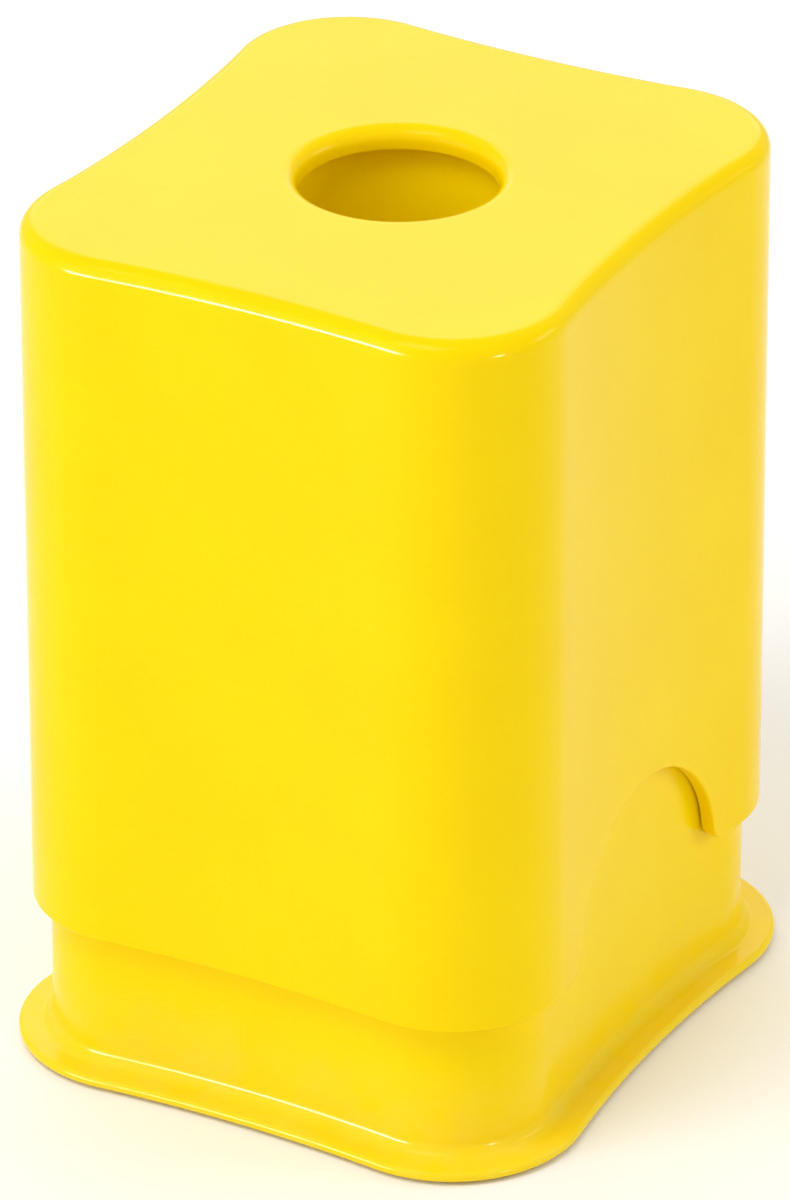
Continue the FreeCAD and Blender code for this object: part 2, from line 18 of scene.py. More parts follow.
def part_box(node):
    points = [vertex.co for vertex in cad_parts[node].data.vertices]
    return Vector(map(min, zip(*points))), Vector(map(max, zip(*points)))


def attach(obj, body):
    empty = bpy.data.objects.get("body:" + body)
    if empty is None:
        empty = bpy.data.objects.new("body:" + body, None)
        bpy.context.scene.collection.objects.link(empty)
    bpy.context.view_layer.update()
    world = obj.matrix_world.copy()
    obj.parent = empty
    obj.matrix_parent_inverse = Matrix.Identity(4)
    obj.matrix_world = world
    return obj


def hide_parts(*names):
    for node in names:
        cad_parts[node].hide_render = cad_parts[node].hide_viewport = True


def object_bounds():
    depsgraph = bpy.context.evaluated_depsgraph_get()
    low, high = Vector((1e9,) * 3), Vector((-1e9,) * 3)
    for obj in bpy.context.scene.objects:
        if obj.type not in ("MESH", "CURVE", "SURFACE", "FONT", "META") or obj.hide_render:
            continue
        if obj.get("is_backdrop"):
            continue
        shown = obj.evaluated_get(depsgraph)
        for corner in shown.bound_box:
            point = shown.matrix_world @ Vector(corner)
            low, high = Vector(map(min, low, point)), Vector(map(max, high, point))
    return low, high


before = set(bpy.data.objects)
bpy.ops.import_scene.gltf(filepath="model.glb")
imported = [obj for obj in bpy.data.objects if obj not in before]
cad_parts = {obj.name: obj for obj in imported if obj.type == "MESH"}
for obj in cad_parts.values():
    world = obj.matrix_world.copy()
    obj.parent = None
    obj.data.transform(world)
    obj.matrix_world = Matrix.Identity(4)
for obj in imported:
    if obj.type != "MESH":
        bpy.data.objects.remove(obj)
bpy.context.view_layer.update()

# %% [markdown]
# ## Sizes
#
# The heights and widths are read from the frame's boxes. Only the rounds and wall thicknesses,
# which a box can't say, are written here, in millimetres turned into metres.

# %% Sizes from the frame, and the few that a box can't tell
MM = 0.001
hood_low, hood_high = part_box("hood")
shell_low, shell_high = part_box("body_shell")
tube_low, tube_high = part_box("socket_tube")
plug_low, plug_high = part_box("socket_end_plug")
pad_low, pad_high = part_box("foot_pad_1")

TOP = hood_high.z
HOOD_EDGE = hood_low.z
SEAT = shell_high.z
UNDERSIDE = shell_low.z
TILT = math.tan(math.radians(0.22))       # the draft of every upright wall
CORNER = 30.2 * MM                        # plan radius of the hood's corners at the top
SIDE_WAIST = 3.3 * MM                     # how far the X faces are pulled in
FRONT_WAIST = 2.2 * MM                    # how far the Y faces are pulled in
HOOD_WALL = 4.0 * MM
NEST_GAP = 0.7 * MM                       # between the hood's wall and the body's
SHELL_WALL = 2.6 * MM
SHELL_PLATE = 3.5 * MM                    # thickness of the body's top
FLANGE_THICKNESS = 2.8 * MM
FLANGE_OVERHANG = 5.3 * MM                # how far the foot flange lies outside the hood's top
ARCH = 37.0 * MM                          # radius of a hand arch
ARCH_FOOT = 6.0 * MM                      # radius that leads it into the hood's lower edge
THROAT = 25.8 * MM                        # radius of the hood's hole

HOOD_TOP_ROUND = 4.6 * MM
HOOD_LIP_ROUND = 4.0 * MM                 # at the upper end of the hood's hole
HOOD_THROAT_ROUND = 0.3 * MM              # at its lower end
HOOD_CEILING_ROUND = 2.0 * MM             # inside, between the wall and the plate
HOOD_EDGE_ROUND = 0.7 * MM                # along the lower edge and the arches
FLANGE_ROUND = 1.2 * MM
FLANGE_ROOT_ROUND = 3.6 * MM              # the hollow between the flange and the wall
SHELL_TOP_ROUND = 3.4 * MM
TUBE_LIP_ROUND = 0.6 * MM
PLUG_ROUND = 0.5 * MM

HALF_X = shell_high.x - FLANGE_OVERHANG   # the hood's half width and half depth at its top
HALF_Y = shell_high.y - FLANGE_OVERHANG
CENTRE_X = HALF_X - CORNER                # centres of the corner curves, the same at every offset
CENTRE_Y = HALF_Y - CORNER
print("hood top is", round(2 * HALF_X / MM, 1), "by", round(2 * HALF_Y / MM, 1), "mm")

# %% [markdown]
# ## Helpers for working by hand
#
# Modelling by hand is: pick some corners or edges, then push, spin, bridge or bevel them. A script
# has no mouse, so these helpers pick by place instead.

# %% Deselect, pick, merge and join
CLOSE = 1e-6                              # points nearer than this, in metres, count as one


def deselect():
    if bpy.context.mode != "OBJECT":
        bpy.ops.object.mode_set(mode="OBJECT")
    bpy.ops.object.select_all(action="DESELECT")


def edit(piece, mode="VERT"):
    deselect()
    bpy.context.view_layer.objects.active = piece
    piece.select_set(True)
    bpy.ops.object.mode_set(mode="EDIT")
    bpy.ops.mesh.select_mode(type=mode)


def pick(piece, kind, test):
    """Select the vertices, edges or faces that pass a test, and nothing else."""
    bpy.ops.mesh.select_all(action="DESELECT")
    mesh = bmesh.from_edit_mesh(piece.data)
    chosen = [item for item in getattr(mesh, kind) if test(item)]
    for item in chosen:
        item.select_set(True)
    mesh.select_flush_mode()
    bmesh.update_edit_mesh(piece.data)
    return len(chosen)


def merge(distance=CLOSE):
    bpy.ops.mesh.select_all(action="SELECT")
    bpy.ops.mesh.remove_doubles(threshold=distance)


def out_of_edit():
    bpy.ops.object.mode_set(mode="OBJECT")


def join(first, others):
    deselect()
    for other in others:
        other.select_set(True)
    first.select_set(True)
    bpy.context.view_layer.objects.active = first
    bpy.ops.object.join()
    return first


def add_modifier(piece, kind, **settings):
    """Add a modifier, set it, and apply it at once."""
    deselect()
    bpy.context.view_layer.objects.active = piece
    piece.select_set(True)
    modifier = piece.modifiers.new(kind.title(), kind)
    for name, value in settings.items():
        setattr(modifier, name, value)
    bpy.ops.object.modifier_apply(modifier=modifier.name)

# %% [markdown]
# ## The waisted plan
#
# Every shell has the same plan: a rectangle with round corners, whose four sides are pulled in
# along long, shallow arcs. A point spun about the eight centres in turn draws it exactly, tangent
# everywhere. Going outwards, the corner arcs grow and the hollow arcs shrink, with the same
# centres.

# %% Draw part of the plan by spinning a point
CORNER_STEPS = 24
FRONT_STEPS = 36
HOLLOW_X = CENTRE_Y ** 2 / (2 * SIDE_WAIST) + SIDE_WAIST / 2 - CORNER
HOLLOW_Y = CENTRE_X ** 2 / (2 * FRONT_WAIST) + FRONT_WAIST / 2 - CORNER
FAR_X = HALF_X - SIDE_WAIST + HOLLOW_X     # centres of the hollow arcs, far outside
FAR_Y = HALF_Y - FRONT_WAIST + HOLLOW_Y
LEAN_X = math.atan2(CENTRE_Y, FAR_X - CENTRE_X)
LEAN_Y = math.atan2(CENTRE_X, FAR_Y - CENTRE_Y)


def tangent_point(grow):
    """Where the right-hand hollow arc meets a corner, at an offset from the hood's top outline."""
    radius = CORNER + grow
    return CENTRE_X + radius * math.cos(LEAN_X), CENTRE_Y - radius * math.sin(LEAN_X)


def single_point(name, place):
    """A plane merged to its centre is the usual way to get one lone vertex."""
    deselect()
    bpy.ops.mesh.primitive_plane_add(size=MM, location=(0, 0, 0))
    piece = bpy.context.object
    piece.name = name
    edit(piece)
    bpy.ops.mesh.select_all(action="SELECT")
    bpy.ops.mesh.merge(type="CENTER")
    bpy.ops.transform.translate(value=place)
    return piece


def spin_on(centre, turn, steps, axis=(0, 0, 1)):
    """Carry on from the selected end point round a centre: anticlockwise if the turn is positive.

    With no window open, spin turns the other way about its axis, so the turn changes sign here."""
    bpy.ops.mesh.spin(steps=steps, angle=-turn, center=centre, axis=axis, use_auto_merge=False)


CORNER_TURN = math.pi / 2 + LEAN_X + LEAN_Y


def half_plan(name, grow, height, side):
    """The corner, long front curve and corner on one Y side, as one open chain."""
    x, y = tangent_point(grow)
    piece = single_point(name, (side * x, side * y, height))
    spin_on((side * CENTRE_X, side * CENTRE_Y, height), CORNER_TURN, CORNER_STEPS)
    spin_on((0, side * FAR_Y, height), -2 * LEAN_Y, FRONT_STEPS)
    spin_on((-side * CENTRE_X, side * CENTRE_Y, height), CORNER_TURN, CORNER_STEPS)
    out_of_edit()
    return piece


def widened(grow, height):
    """The offset that the draft makes of an offset at the hood's top."""
    return grow + (TOP - height) * TILT

# %% [markdown]
# ## The hood's upright walls
#
# The hood needs its hand arches without a ragged cut. A boolean would leave slivers in the mesh
# that show as dents in the gloss. Instead the arch is drawn first, as a chain of points spun round
# its own three centres, and the wall is pulled up from it, so that its faces follow the arch. The
# flat sheet is then pressed onto the curved wall.

# %% Walls between two heights
ROWS = 24


def bridge_up(piece):
    """Join the two chains of a piece with upright faces, then cut them into rows."""
    edit(piece, "EDGE")
    bpy.ops.mesh.select_all(action="SELECT")
    bpy.ops.mesh.bridge_edge_loops()
    cut_rows(piece)
    out_of_edit()


def cut_rows(piece, rows=ROWS):
    def upright(edge):
        rise = abs(edge.verts[0].co.z - edge.verts[1].co.z)
        return rise > (TOP - HOOD_EDGE) / 2
    pick(piece, "edges", upright)
    bpy.ops.mesh.subdivide(number_cuts=rows - 1)


def corner_walls(name, grow, low, high, side):
    lower = half_plan(name, widened(grow, low), low, side)
    upper = half_plan(name + "_upper", widened(grow, high), high, side)
    join(lower, [upper])
    bridge_up(lower)
    return lower

# %% An arch in a flat sheet, pulled up to the hood's top
ARCH_FOOT_Y = math.sqrt((ARCH + ARCH_FOOT) ** 2 - ARCH_FOOT ** 2)
ARCH_LEAN = math.asin(ARCH_FOOT / (ARCH + ARCH_FOOT))
ARCH_STEPS = 64
FOOT_STEPS = 10
FLAT_STEPS = 5


def arch_sheet(name):
    """An X face as a flat sheet in the YZ plane, drawn from its lower edge with the arch."""
    side_y = tangent_point(widened(0, HOOD_EDGE))[1]
    top_y = tangent_point(0)[1]
    piece = single_point(name, (0, -ARCH_FOOT_Y, HOOD_EDGE))
    foot_turn = math.pi / 2 - ARCH_LEAN
    foot_z = HOOD_EDGE + ARCH_FOOT
    spin_on((0, -ARCH_FOOT_Y, foot_z), foot_turn, FOOT_STEPS, axis=(1, 0, 0))
    spin_on((0, 0, HOOD_EDGE), -(math.pi - 2 * ARCH_LEAN), ARCH_STEPS, axis=(1, 0, 0))
    spin_on((0, ARCH_FOOT_Y, foot_z), foot_turn, FOOT_STEPS, axis=(1, 0, 0))
    along = (side_y - ARCH_FOOT_Y) / FLAT_STEPS
    for step in range(FLAT_STEPS):
        bpy.ops.mesh.extrude_vertices_move(TRANSFORM_OT_translate={"value": (0, along, 0)})
    first = Vector((0, -ARCH_FOOT_Y, HOOD_EDGE))
    pick(piece, "verts", lambda vert: (vert.co - first).length < CLOSE)
    for step in range(FLAT_STEPS):
        bpy.ops.mesh.extrude_vertices_move(TRANSFORM_OT_translate={"value": (0, -along, 0)})
    bpy.ops.mesh.select_mode(type="EDGE")
    bpy.ops.mesh.select_all(action="SELECT")
    bpy.ops.mesh.extrude_edges_move()
    bpy.ops.transform.resize(value=(1, top_y / side_y, 0), center_override=(0, 0, TOP))
    cut_rows(piece)
    out_of_edit()
    return piece


GUIDE_MARGIN = 1.5 * MM                   # how far the guide reaches past the sheet, up and down
GUIDE_REACH = 1.05                        # its turn, as a multiple of the sheet's
GUIDE_STEPS = 400


def guide_wall():
    """A finely cut X wall, a little larger than the sheet that is pressed onto it."""
    lean = LEAN_X * GUIDE_REACH
    chains = []
    for height in (HOOD_EDGE - GUIDE_MARGIN, TOP + GUIDE_MARGIN):
        radius = HOLLOW_X - widened(0, height)
        start = (FAR_X - radius * math.cos(lean), radius * math.sin(lean), height)
        chain = single_point("guide", start)
        spin_on((FAR_X, 0, height), 2 * lean, GUIDE_STEPS)
        out_of_edit()
        chains.append(chain)
    guide = join(chains[0], chains[1:])
    edit(guide, "EDGE")
    bpy.ops.mesh.select_all(action="SELECT")
    bpy.ops.mesh.bridge_edge_loops()
    out_of_edit()
    return guide

# %% Press the sheets onto the curved walls and join the four sides
SHEET_SEAM = 0.02 * MM                    # a pressed sheet's edge lies this near to the corner's


def copy_of(piece, name):
    deselect()
    piece.select_set(True)
    bpy.context.view_layer.objects.active = piece
    bpy.ops.object.duplicate()
    bpy.context.object.name = name
    return bpy.context.object


front_walls = corner_walls("hood_shell", 0, HOOD_EDGE, TOP, 1)
back_walls = corner_walls("back_walls", 0, HOOD_EDGE, TOP, -1)
right_sheet = arch_sheet("right_sheet")
guide = guide_wall()
add_modifier(right_sheet, "SHRINKWRAP", target=guide, wrap_method="PROJECT", use_project_x=True,
             use_positive_direction=True, use_negative_direction=False)
bpy.data.objects.remove(guide)
missed = sum(1 for vert in right_sheet.data.vertices if vert.co.x < HALF_X / 2)
print("points that missed the wall:", missed)

left_sheet = copy_of(right_sheet, "left_sheet")
bpy.ops.transform.resize(value=(-1, 1, 1), center_override=(0, 0, 0))
bpy.ops.object.transform_apply(location=True, rotation=True, scale=True)


def face_outwards(piece, distance=CLOSE):
    """Merge doubles, then turn every face outwards, which the face furthest out confirms."""
    edit(piece)
    merge(distance)
    bpy.ops.mesh.normals_make_consistent(inside=False)
    out_of_edit()
    outermost = max(piece.data.polygons, key=lambda face: face.center.x)
    if outermost.normal.x < 0:
        edit(piece)
        bpy.ops.mesh.select_all(action="SELECT")
        bpy.ops.mesh.flip_normals()
        out_of_edit()


hood = join(front_walls, [back_walls, right_sheet, left_sheet])
face_outwards(hood, SHEET_SEAM)
print("hood walls:", len(hood.data.vertices), "points")

# %% [markdown]
# ## The hood's thickness, plate and hole
#
# The real hood is one moulding, 4 mm thick in the wall and 6 mm in the plate. Solidify gives the
# wall its thickness inwards. The plate is drawn by pulling the top edge in to a circle, so that its
# lines run straight from the rim to the hole, and the bevels at both ends come out even.

# %% Helpers that tell edges apart
SHARP = math.radians(50)                  # an edge that turns more than this is a corner
LEVEL_SLACK = 0.05 * MM
THROAT_ZONE = 2 * THROAT                  # edges within this radius belong to the hole


def offset_of(point):
    """How far a point lies outside the hood's top outline, in plan."""
    x = abs(point.x)
    y = abs(point.y)
    if math.atan2(y, FAR_X - x) < LEAN_X:
        return HOLLOW_X - math.hypot(FAR_X - x, y)
    if math.atan2(x, FAR_Y - y) < LEAN_Y:
        return HOLLOW_Y - math.hypot(FAR_Y - y, x)
    return math.hypot(x - CENTRE_X, y - CENTRE_Y) - CORNER


def middle(edge):
    return (edge.verts[0].co + edge.verts[1].co) / 2


def is_corner(edge):
    return len(edge.link_faces) == 2 and edge.calc_face_angle() > SHARP


def is_throat(edge):
    point = middle(edge)
    return math.hypot(point.x, point.y) < THROAT_ZONE


def level_at(edge, height):
    return all(abs(vert.co.z - height) < LEVEL_SLACK for vert in edge.verts)


def round_off(size, segments):
    """Round the selected edges."""
    bpy.ops.mesh.bevel(offset=size, segments=segments, profile=0.5, affect="EDGES",
                       clamp_overlap=False)


def pull_to_circle(radius, height):
    """Turn the selected closed line into a circle round Z, each point keeping its direction."""
    bpy.ops.transform.tosphere(value=1, center_override=(0, 0, height))
    mesh = bmesh.from_edit_mesh(bpy.context.object.data)
    spot = next(vert.co for vert in mesh.verts if vert.select)
    ratio = radius / math.hypot(spot.x, spot.y)
    bpy.ops.transform.resize(value=(ratio, ratio, 1), center_override=(0, 0, height))

# %% Give the walls their thickness and draw the plate in to the hole
add_modifier(hood, "SOLIDIFY", thickness=HOOD_WALL, offset=-1, use_even_offset=True, use_rim=True)

edit(hood, "FACE")
TOP_SLACK = 0.1 * MM
TOP_ROW = 4.5 * MM                        # only the top row's middles lie less than this below it


def is_inner(point):
    """Whether a point is nearer to the inside of the hood's wall than to its outside."""
    return offset_of(point) < -HOOD_WALL / 2


def is_top_ring(face):
    point = face.calc_center_median()
    return point.z > TOP - TOP_SLACK or (point.z > TOP - TOP_ROW and is_inner(point))


def is_inner_rim(edge):
    return edge.is_boundary and is_inner(middle(edge))


def is_outer_rim(edge):
    return edge.is_boundary and not is_inner(middle(edge))


print("faces taken from the top:", pick(hood, "faces", is_top_ring))
bpy.ops.mesh.delete(type="FACE")
bpy.ops.mesh.select_mode(type="EDGE")
print("inner edges:", pick(hood, "edges", is_inner_rim))
bpy.ops.transform.resize(value=(1, 1, 0), center_override=(0, 0, SEAT))
print("outer edges:", pick(hood, "edges", is_outer_rim))
bpy.ops.mesh.extrude_edges_move()
pull_to_circle(THROAT, TOP)
bpy.ops.mesh.extrude_edges_move(TRANSFORM_OT_translate={"value": (0, 0, SEAT - TOP)})
pick(hood, "edges", lambda edge: edge.is_boundary)
bpy.ops.mesh.bridge_edge_loops()
merge()
bpy.ops.mesh.normals_make_consistent(inside=False)

# %% Round its edges
def plate_edges(height, at_throat):
    """A test for the corners of the plate at a height, at the hole or at the rim."""
    def test(edge):
        return is_corner(edge) and level_at(edge, height) and is_throat(edge) == at_throat
    return test


pick(hood, "edges", plate_edges(TOP, at_throat=False))
round_off(HOOD_TOP_ROUND, segments=8)
pick(hood, "edges", plate_edges(TOP, at_throat=True))
round_off(HOOD_LIP_ROUND, segments=8)
pick(hood, "edges", plate_edges(SEAT, at_throat=True))
round_off(HOOD_THROAT_ROUND, segments=2)
pick(hood, "edges", plate_edges(SEAT, at_throat=False))
round_off(HOOD_CEILING_ROUND, segments=4)
pick(hood, "edges", lambda edge: is_corner(edge) and middle(edge).z < TOP / 2)
round_off(HOOD_EDGE_ROUND, segments=4)
out_of_edit()

# %% Smooth a piece and put it in the frame
SMOOTH_BELOW = math.radians(35)           # edges that turn less than this are shaded smooth


def finish_piece(piece, name, body, slot, *nodes):
    """Smooth the shading, keep flat faces flat, and put the piece in the frame."""
    deselect()
    bpy.context.view_layer.objects.active = piece
    piece.select_set(True)
    bpy.ops.object.shade_smooth_by_angle(angle=SMOOTH_BELOW)
    add_modifier(piece, "WEIGHTED_NORMAL", keep_sharp=True, mode="FACE_AREA_WITH_ANGLE", weight=50)
    piece.name = name
    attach(piece, body)
    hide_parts(*nodes)
    edit(piece, "EDGE")
    open_edges = pick(piece, "edges", lambda edge: len(edge.link_faces) != 2)
    out_of_edit()
    corners = [vert.co for vert in piece.data.vertices]
    low = [round(min(point[axis] for point in corners) / MM, 2) for axis in range(3)]
    high = [round(max(point[axis] for point in corners) / MM, 2) for axis in range(3)]
    print(name, "from", low, "to", high, "mm,",
          len(piece.data.polygons), "faces,", open_edges, "open edges")


finish_piece(hood, "hood_cover", "hood", "hood_plastic", "hood")

# %% [markdown]
# ## The body shell
#
# The inner cup is two stacks of outlines that all have the same number of points: round the flange
# and up the wall outside, and down the wall inside. Each outline is joined to the one before it by
# a bridge. The tops are drawn in to the mouth of the socket, the stacks are joined, and the edges
# where they meet are rounded.

# %% A closed outline, and a stack of them
SIDE_STEPS = 40
PLAN_SEAM = 0.05 * MM                     # a spun outline's last point lies this near to its first


def full_plan(name, grow, height):
    """The whole waisted outline as a closed line."""
    x, y = tangent_point(grow)
    piece = single_point(name, (x, y, height))
    for side in (1, -1):
        spin_on((side * CENTRE_X, side * CENTRE_Y, height), CORNER_TURN, CORNER_STEPS)
        spin_on((0, side * FAR_Y, height), -2 * LEAN_Y, FRONT_STEPS)
        spin_on((-side * CENTRE_X, side * CENTRE_Y, height), CORNER_TURN, CORNER_STEPS)
        spin_on((-side * FAR_X, 0, height), -2 * LEAN_X, SIDE_STEPS)
    merge(PLAN_SEAM)
    out_of_edit()
    return piece


def bridge(piece, test):
    """Bridge the two closed lines of edges that pass the test, and warn if it comes out twisted."""
    edit(piece, "EDGE")
    pick(piece, "edges", test)
    bpy.ops.mesh.bridge_edge_loops()
    crossing = pick(piece, "edges",
                    lambda edge: edge.verts[0].co.xy.dot(edge.verts[1].co.xy) < 0)
    out_of_edit()
    if crossing:
        print("a twisted bridge:", crossing, "edges cross the middle")


def stack_up(rings):
    """Bridge each outline, given with its height, to the one before."""
    piece, height = rings[0]
    for ring, next_height in rings[1:]:
        join(piece, [ring])
        bridge(piece, lambda edge: edge.is_wire or (edge.is_boundary and level_at(edge, height)))
        height = next_height
    return piece


def draw_in(piece, radius, height):
    """Carry the open edge at a height inwards to a circle."""
    edit(piece, "EDGE")
    pick(piece, "edges", lambda edge: edge.is_boundary and level_at(edge, height))
    bpy.ops.mesh.extrude_edges_move()
    pull_to_circle(radius, height)
    out_of_edit()

# %% The shell: outside with its top, then inside with its ceiling
FLANGE_TOP = UNDERSIDE + FLANGE_THICKNESS
CEILING = SEAT - SHELL_PLATE
WALL_OUT = -HOOD_WALL - NEST_GAP          # offsets of the wall's two faces at the hood's top
WALL_IN = WALL_OUT - SHELL_WALL
MOUTH_HOLE = 34.3 * MM

shell = stack_up([
    (full_plan("flange_bottom", FLANGE_OVERHANG, UNDERSIDE), UNDERSIDE),
    (full_plan("flange_top", FLANGE_OVERHANG, FLANGE_TOP), FLANGE_TOP),
    (full_plan("wall_foot", widened(WALL_OUT, FLANGE_TOP), FLANGE_TOP), FLANGE_TOP),
    (full_plan("wall_top", widened(WALL_OUT, SEAT), SEAT), SEAT),
])
draw_in(shell, MOUTH_HOLE, SEAT)

# Bridging two level lines inside one another can twist, so the inside starts below the ground.
BELOW = -5 * MM
inside = stack_up([
    (full_plan("ceiling", widened(WALL_IN, CEILING), CEILING), CEILING),
    (full_plan("inner_foot", widened(WALL_IN, UNDERSIDE), BELOW), BELOW),
])
draw_in(inside, MOUTH_HOLE, CEILING)

join(shell, [inside])
bridge(shell, lambda edge: edge.is_boundary and is_throat(edge))
bridge(shell, lambda edge: edge.is_boundary)
edit(shell, "VERT")
pick(shell, "verts", lambda vert: vert.co.z < 0)
bpy.ops.transform.resize(value=(1, 1, 0), center_override=(0, 0, UNDERSIDE))
out_of_edit()
face_outwards(shell)

# %% Round its edges: the rim, the hollow root of the flange, and the top
edit(shell, "EDGE")


def at_offset(height, least, most):
    """A test for level corners whose offset from the hood's outline is between two values."""
    def test(edge):
        return level_at(edge, height) and least < offset_of(middle(edge)) < most and is_corner(edge)
    return test


RIM_ZONE = FLANGE_OVERHANG - MM           # the flange's own rim lies outside this offset
WALL_ZONE = -6 * MM                       # the wall's outer face lies between this and zero
rim_top = at_offset(FLANGE_TOP, RIM_ZONE, math.inf)
rim_low = at_offset(UNDERSIDE, RIM_ZONE, math.inf)
pick(shell, "edges", lambda edge: rim_top(edge) or rim_low(edge))
round_off(FLANGE_ROUND, segments=5)
pick(shell, "edges", at_offset(FLANGE_TOP, WALL_ZONE, 0))
round_off(FLANGE_ROOT_ROUND, segments=8)
pick(shell, "edges", at_offset(SEAT, WALL_ZONE, 0))
round_off(SHELL_TOP_ROUND, segments=6)
out_of_edit()
finish_piece(shell, "body_cup", "base", "shell_plastic", "body_shell")

# %% [markdown]
# ## Turned pieces: the socket, its plug and the foot pads
#
# A turned piece is drawn as half of its section, in the plane through the axis, and spun once
# round. The tube gives the dropped-in post a funnel to find its way, and stands on the black plug.

# %% Spin a half section round an upright axis
TURN_STEPS = 96
TURN_SEAM = 0.005 * MM                    # a full turn's last points lie this near to its first


def turned(name, points, steps=TURN_STEPS, place=(0, 0, 0)):
    """Points are pairs of radius and height, in order round the section."""
    radius, height = points[0]
    piece = single_point(name, (radius, 0, height))
    for (radius, height), (next_radius, next_height) in zip(points, points[1:]):
        along = (next_radius - radius, 0, next_height - height)
        bpy.ops.mesh.extrude_vertices_move(TRANSFORM_OT_translate={"value": along})
    if points[0][0] > 0:
        pick(piece, "verts", lambda vert: len(vert.link_edges) == 1)
        bpy.ops.mesh.edge_face_add()
    bpy.ops.mesh.select_mode(type="EDGE")
    bpy.ops.mesh.select_all(action="SELECT")
    bpy.ops.mesh.spin(steps=steps, angle=2 * math.pi, center=(0, 0, 0), axis=(0, 0, 1),
                      use_auto_merge=True)
    merge(TURN_SEAM)
    bpy.ops.mesh.select_all(action="SELECT")
    bpy.ops.transform.translate(value=place)
    out_of_edit()
    return piece

# %% The socket tube, with its mouth softened
BORE = 25.5 * MM
FLARE = 5.5 * MM                          # by how much the radius grows up the funnel, outside
TUBE_OUTSIDE = tube_high.x - FLARE
MOUTH = 31.0 * MM
FUNNEL_DEPTH = 48 * MM
FUNNEL_FOOT = SEAT - FUNNEL_DEPTH
REBATE = 26.7 * MM                        # the tube's foot is opened to this for the plug

tube = turned("tube", [
    (REBATE, tube_low.z),
    (TUBE_OUTSIDE, tube_low.z),
    (TUBE_OUTSIDE, FUNNEL_FOOT),
    (tube_high.x, CEILING),
    (tube_high.x, SEAT),
    (MOUTH, SEAT),
    (BORE, FUNNEL_FOOT),
    (BORE, plug_high.z),
    (REBATE, plug_high.z),
])
face_outwards(tube)
edit(tube, "EDGE")
pick(tube, "edges", lambda edge: level_at(edge, SEAT) and is_corner(edge))
round_off(TUBE_LIP_ROUND, segments=3)
out_of_edit()
finish_piece(tube, "socket_liner", "base", "socket_plastic", "socket_tube")

# %% The end plug, with its drain hole
DRAIN = 4.0 * MM
SPIGOT = 26.6 * MM                        # the part of the plug that fits in the tube's foot

plug = turned("plug", [
    (DRAIN, plug_low.z),
    (plug_high.x, plug_low.z),
    (plug_high.x, tube_low.z),
    (SPIGOT, tube_low.z),
    (SPIGOT, plug_high.z),
    (DRAIN, plug_high.z),
])
face_outwards(plug)
edit(plug, "EDGE")
pick(plug, "edges", lambda edge: level_at(edge, plug_high.z) and is_corner(edge))
round_off(PLUG_ROUND, segments=3)
out_of_edit()
finish_piece(plug, "end_plug", "base", "black_plastic", "socket_end_plug")

# %% The foot pads: a rubber disc with a hollow underneath that grips like a sucker
PAD = (pad_high.x - pad_low.x) / 2
PAD_CUT = 0.5 * MM                        # the lower edge is cut back by this, in two slopes
PAD_FACET = 0.15 * MM                     # where the two slopes meet
PAD_RING = 3 * MM                         # from the outside to where the hollow starts
PAD_HOLLOW = 0.4 * MM                     # depth of the hollow, and width of the slope into it
PAD_STEPS = 64

feet = []
for number in range(1, 5):
    low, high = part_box(f"foot_pad_{number}")
    centre = ((low.x + high.x) / 2, (low.y + high.y) / 2, 0)
    pad = turned(f"pad_{number}", [
        (0, high.z),
        (PAD, high.z),
        (PAD, PAD_CUT),
        (PAD - PAD_FACET, PAD_FACET),
        (PAD - PAD_CUT, 0),
        (PAD - PAD_RING, 0),
        (PAD - PAD_RING - PAD_HOLLOW, PAD_HOLLOW),
        (0, PAD_HOLLOW),
    ], steps=PAD_STEPS, place=centre)
    face_outwards(pad)
    finish_piece(pad, f"rubber_foot_{number}", "base", "rubber", f"foot_pad_{number}")
    feet.append(pad)

# %% [markdown]
# ## Finishes
#
# The yellow is moulded plastic with the colour all through it. It is glossy, with the slight orange
# peel that a big moulding has, and its colour drifts a little where the melt flowed. Each finish
# below is built from noise on Object coordinates, so a pattern stays in place when the piece moves.

# %% Small helpers for node trees
def start_finish(name):
    material = bpy.data.materials.new(name)
    material.use_nodes = True
    return material, material.node_tree, material.node_tree.nodes["Principled BSDF"]


def noise(tree, size, detail=3, stretch=(1, 1, 1)):
    """Noise with lumps about one size across, in metres, longer where the stretch is under 1."""
    place = tree.nodes.new("ShaderNodeTexCoord")
    mapping = tree.nodes.new("ShaderNodeMapping")
    mapping.inputs["Scale"].default_value = stretch
    texture = tree.nodes.new("ShaderNodeTexNoise")
    texture.inputs["Scale"].default_value = 1 / size
    texture.inputs["Detail"].default_value = detail
    tree.links.new(place.outputs["Object"], mapping.inputs["Vector"])
    tree.links.new(mapping.outputs["Vector"], texture.inputs["Vector"])
    return texture.outputs["Fac"]


def spread(tree, source, low, high, start=0.3, end=0.7):
    """Map the middle of the noise to a range."""
    ranged = tree.nodes.new("ShaderNodeMapRange")
    ranged.inputs["From Min"].default_value = start
    ranged.inputs["From Max"].default_value = end
    ranged.inputs["To Min"].default_value = low
    ranged.inputs["To Max"].default_value = high
    tree.links.new(source, ranged.inputs["Value"])
    return ranged.outputs["Result"]


def two_tone(tree, factor, first, second):
    """Mix two colours, each a colour or another mix."""
    mixer = tree.nodes.new("ShaderNodeMix")
    mixer.data_type = "RGBA"
    tree.links.new(factor, mixer.inputs[0])
    for socket, colour in ((mixer.inputs[6], first), (mixer.inputs[7], second)):
        if isinstance(colour, bpy.types.NodeSocket):
            tree.links.new(colour, socket)
        else:
            socket.default_value = (*colour, 1)
    return mixer.outputs[2]


